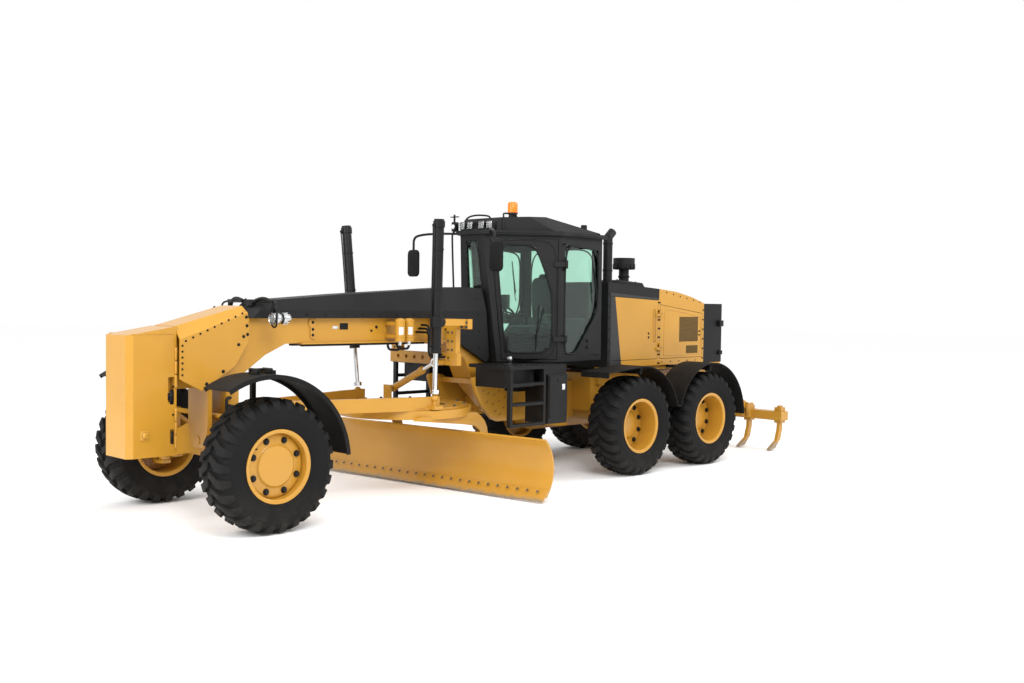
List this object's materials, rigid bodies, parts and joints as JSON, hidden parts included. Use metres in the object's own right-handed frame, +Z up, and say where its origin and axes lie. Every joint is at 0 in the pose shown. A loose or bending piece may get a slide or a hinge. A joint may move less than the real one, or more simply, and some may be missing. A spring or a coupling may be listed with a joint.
{
  "type": "motor grader",
  "caption": "Articulated motor grader with cab, engine hood on tandem wheels, long blade under a gooseneck frame, front push block and rear ripper.",
  "frame": {"origin": "centre of the footprint box at ground level, under the wheels", "axes": "+X is the driving direction, +Y is the operator's left, +Z is up"},
  "size_m": [10.05, 3.661, 3.45],
  "materials": {
    "yellow_paint": "smooth industrial enamel, lightly worn",
    "black_paint": "semi-gloss black enamel",
    "satin_black": "satin anti-glare black",
    "fender_plastic": "matte moulded plastic",
    "tyre_rubber": "matte black tyre rubber",
    "chromed_rod": "polished chrome",
    "bare_steel": "machined steel, greased",
    "engine_iron": "painted cast iron",
    "tinted_glass": "clear with a faint green tint",
    "seat_fabric": "woven dark seat fabric",
    "hose_rubber": "braided hydraulic hose cover"
  },
  "bodies": {
    "front_body": {"front_frame": "yellow_paint", "frame_cover": "satin_black", "nose_guard": "yellow_paint", "push_block": "yellow_paint", "front_axle": "yellow_paint", "cab_shell": "satin_black", "cab_glass": "tinted_glass", "operator_station": "seat_fabric", "side_steps": "black_paint", "lift_saddle": "yellow_paint", "mirrors": "black_paint", "hoses": "hose_rubber"},
    "rear_body": {"rear_frame": "yellow_paint", "tandem_cases": "yellow_paint", "hood_shell": "yellow_paint", "hood_top": "satin_black", "engine_block": "engine_iron", "radiator_guard": "black_paint", "rear_fenders": "fender_plastic"},
    "tie_rod": {"tie_rod": "black_paint"},
    "drawbar": {"drawbar": "yellow_paint"},
    "drawbar_ball": {"drawbar_ball": "bare_steel"},
    "circle": {"circle": "yellow_paint"},
    "tip_brackets": {"tip_brackets": "yellow_paint"},
    "moldboard": {"moldboard": "yellow_paint"},
    "centre_shift_barrel": {"centre_shift_barrel": "yellow_paint"},
    "centre_shift_rod": {"centre_shift_rod": "chromed_rod"},
    "centre_shift_bushing": {"centre_shift_bushing": "bare_steel"},
    "ripper_links": {"ripper_links": "yellow_paint"},
    "ripper": {"ripper": "yellow_paint"},
    "ripper_barrel": {"ripper_barrel": "yellow_paint"},
    "ripper_rod": {"ripper_rod": "chromed_rod"},
    "knuckle_left": {"knuckle_left": "yellow_paint", "front_fender_left": "fender_plastic"},
    "cab_door_left": {"cab_door_left": "satin_black", "cab_door_glass_left": "tinted_glass"},
    "front_service_door_left": {"front_service_door_left": "yellow_paint"},
    "rear_service_door_left": {"rear_service_door_left": "yellow_paint"},
    "lift_barrel_left": {"lift_barrel_left": "black_paint"},
    "lift_rod_left": {"lift_rod_left": "chromed_rod"},
    "knuckle_right": {"knuckle_right": "yellow_paint", "front_fender_right": "fender_plastic"},
    "cab_door_right": {"cab_door_right": "satin_black", "cab_door_glass_right": "tinted_glass"},
    "front_service_door_right": {"front_service_door_right": "yellow_paint"},
    "rear_service_door_right": {"rear_service_door_right": "yellow_paint"},
    "lift_barrel_right": {"lift_barrel_right": "black_paint"},
    "lift_rod_right": {"lift_rod_right": "chromed_rod"},
    "front_left_wheel": {"front_left_tyre": "tyre_rubber", "front_left_rim": "yellow_paint"},
    "front_right_wheel": {"front_right_tyre": "tyre_rubber", "front_right_rim": "yellow_paint"},
    "middle_left_wheel": {"middle_left_tyre": "tyre_rubber", "middle_left_rim": "yellow_paint"},
    "middle_right_wheel": {"middle_right_tyre": "tyre_rubber", "middle_right_rim": "yellow_paint"},
    "rear_left_wheel": {"rear_left_tyre": "tyre_rubber", "rear_left_rim": "yellow_paint"},
    "rear_right_wheel": {"rear_right_tyre": "tyre_rubber", "rear_right_rim": "yellow_paint"}
  },
  "joints": [
    {"name": "articulation", "type": "hinge", "parent": "front_body", "child": "rear_body", "pos_m": [-0.875, 0, 0.9], "axis": [0, 0, 1], "range_deg": [-20, 20]},
    {"name": "steer_left", "type": "hinge", "parent": "front_body", "child": "knuckle_left", "pos_m": [4.048, 0.92, 0.63], "axis": [0, 0, 1], "range_deg": [-47.5, 47.5]},
    {"name": "steer_right", "type": "hinge", "parent": "front_body", "child": "knuckle_right", "pos_m": [4.048, -0.92, 0.63], "axis": [0, 0, 1], "range_deg": [-47.5, 47.5]},
    {"name": "tie_rod_swing", "type": "hinge", "parent": "knuckle_left", "child": "tie_rod", "pos_m": [3.888, 0.92, 0.585], "axis": [0, 0, 1], "range_deg": [-48, 48]},
    {"name": "front_left_spin", "type": "hinge", "parent": "knuckle_left", "child": "front_left_wheel", "pos_m": [4.048, 1.07, 0.63], "axis": [0, 1, 0], "continuous": true},
    {"name": "front_right_spin", "type": "hinge", "parent": "knuckle_right", "child": "front_right_wheel", "pos_m": [4.048, -1.07, 0.63], "axis": [0, 1, 0], "continuous": true},
    {"name": "middle_left_spin", "type": "hinge", "parent": "rear_body", "child": "middle_left_wheel", "pos_m": [-1.3135, 1.07, 0.63], "axis": [0, 1, 0], "continuous": true},
    {"name": "middle_right_spin", "type": "hinge", "parent": "rear_body", "child": "middle_right_wheel", "pos_m": [-1.3135, -1.07, 0.63], "axis": [0, 1, 0], "continuous": true},
    {"name": "rear_left_spin", "type": "hinge", "parent": "rear_body", "child": "rear_left_wheel", "pos_m": [-2.8365, 1.07, 0.63], "axis": [0, 1, 0], "continuous": true},
    {"name": "rear_right_spin", "type": "hinge", "parent": "rear_body", "child": "rear_right_wheel", "pos_m": [-2.8365, -1.07, 0.63], "axis": [0, 1, 0], "continuous": true},
    {"name": "drawbar_yaw", "type": "hinge", "parent": "front_body", "child": "drawbar_ball", "pos_m": [3.675, 0, 0.95], "axis": [0, 0, 1], "range_deg": [-4.5, 8]},
    {"name": "drawbar_lift", "type": "hinge", "parent": "drawbar_ball", "child": "drawbar", "pos_m": [3.675, 0, 0.95], "axis": [0, 1, 0], "range_deg": [-15, 9.5]},
    {"name": "circle_turn", "type": "hinge", "parent": "drawbar", "child": "circle", "pos_m": [1.525, 0, 0.9], "axis": [0, 0, 1], "continuous": true},
    {"name": "blade_tip", "type": "hinge", "parent": "circle", "child": "tip_brackets", "pos_m": [0.92797, -0.05959, 0.2], "axis": [-0.0993, 0.9951, 0], "range_deg": [-5, 40]},
    {"name": "blade_side_shift", "type": "slide", "parent": "tip_brackets", "child": "moldboard", "axis": [0.0993, -0.9951, 0], "range_m": [-0.7, 0.7]},
    {"name": "lift_barrel_left_swing", "type": "hinge", "parent": "front_body", "child": "lift_barrel_left", "pos_m": [1.675, 0.72, 1.95], "axis": [1, 0, 0], "range_deg": [-20, 12]},
    {"name": "lift_rod_left_slide", "type": "slide", "parent": "lift_barrel_left", "child": "lift_rod_left", "axis": [0, 0.0235, 0.9997], "range_m": [-0.53, 0.34]},
    {"name": "lift_barrel_right_swing", "type": "hinge", "parent": "front_body", "child": "lift_barrel_right", "pos_m": [1.675, -0.81, 1.95], "axis": [1, 0, 0], "range_deg": [-20, 12]},
    {"name": "lift_rod_right_slide", "type": "slide", "parent": "lift_barrel_right", "child": "lift_rod_right", "axis": [0, -0.1283, 0.9917], "range_m": [-0.53, 0.34]},
    {"name": "centre_shift_bushing_swing", "type": "hinge", "parent": "front_body", "child": "centre_shift_bushing", "pos_m": [1.375, 0.35, 1.47], "axis": [1, 0, 0], "range_deg": [-25, 38]},
    {"name": "centre_shift_rod_swing", "type": "hinge", "parent": "centre_shift_bushing", "child": "centre_shift_rod", "pos_m": [1.375, 0.35, 1.47], "axis": [1, 0, 0], "range_deg": [-9, 5.2]},
    {"name": "centre_shift_barrel_slide", "type": "slide", "parent": "centre_shift_rod", "child": "centre_shift_barrel", "axis": [0, -0.9108, -0.4129], "range_m": [-0.16, 0.285]},
    {"name": "ripper_lift", "type": "hinge", "parent": "rear_body", "child": "ripper_links", "pos_m": [-4.255, 0, 0.9], "axis": [0, 1, 0], "range_deg": [-35, 45]},
    {"name": "ripper_level", "type": "hinge", "parent": "ripper_links", "child": "ripper", "pos_m": [-4.79, 0, 0.64], "axis": [0, 1, 0], "range_deg": [-46, 36]},
    {"name": "ripper_barrel_swing", "type": "hinge", "parent": "rear_body", "child": "ripper_barrel", "pos_m": [-4.24, 0, 1.16], "axis": [0, 1, 0], "range_deg": [-29, 37]},
    {"name": "ripper_rod_slide", "type": "slide", "parent": "ripper_barrel", "child": "ripper_rod", "axis": [-0.8403, 0, -0.5421], "range_m": [-0.05, 0.04]},
    {"name": "cab_door_left_hinge", "type": "hinge", "parent": "front_body", "child": "cab_door_left", "pos_m": [-0.34226, 0.8211, 2.2], "axis": [0, 0, 1], "range_deg": [0, 90]},
    {"name": "front_service_door_left_hinge", "type": "hinge", "parent": "rear_body", "child": "front_service_door_left", "pos_m": [-2.575, 0.56946, 1.8], "axis": [0, 0, 1], "range_deg": [0, 90]},
    {"name": "rear_service_door_left_hinge", "type": "hinge", "parent": "rear_body", "child": "rear_service_door_left", "pos_m": [-2.575, 0.56946, 1.8], "axis": [0, 0, -1], "range_deg": [0, 90]},
    {"name": "cab_door_right_hinge", "type": "hinge", "parent": "front_body", "child": "cab_door_right", "pos_m": [-0.34226, -0.8211, 2.2], "axis": [0, 0, -1], "range_deg": [0, 90]},
    {"name": "front_service_door_right_hinge", "type": "hinge", "parent": "rear_body", "child": "front_service_door_right", "pos_m": [-2.575, -0.56946, 1.8], "axis": [0, 0, -1], "range_deg": [0, 90]},
    {"name": "rear_service_door_right_hinge", "type": "hinge", "parent": "rear_body", "child": "rear_service_door_right", "pos_m": [-2.575, -0.56946, 1.8], "axis": [0, 0, 1], "range_deg": [0, 90]}
  ],
  "couplings": [
    {"joint": "steer_right", "follows": "steer_left", "ratio": 1},
    {"joint": "tie_rod_swing", "follows": "steer_left", "ratio": -1},
    {"joint": "lift_barrel_left_swing", "follows": "drawbar_yaw", "ratio": -2.27},
    {"joint": "lift_barrel_right_swing", "follows": "drawbar_yaw", "ratio": -2.25},
    {"joint": "lift_rod_left_slide", "follows": "drawbar_lift", "m_per_rad": 1.98},
    {"joint": "lift_rod_right_slide", "follows": "drawbar_lift", "m_per_rad": 1.98},
    {"joint": "centre_shift_bushing_swing", "follows": "drawbar_lift", "ratio": -2.5},
    {"joint": "centre_shift_rod_swing", "follows": "drawbar_yaw", "ratio": -1.1},
    {"joint": "centre_shift_barrel_slide", "follows": "drawbar_yaw", "m_per_rad": 2},
    {"joint": "ripper_level", "follows": "ripper_lift", "ratio": -1},
    {"joint": "ripper_barrel_swing", "follows": "ripper_lift", "ratio": 0.81},
    {"joint": "ripper_rod_slide", "follows": "ripper_lift", "m_per_rad": -0.06}
  ]
}
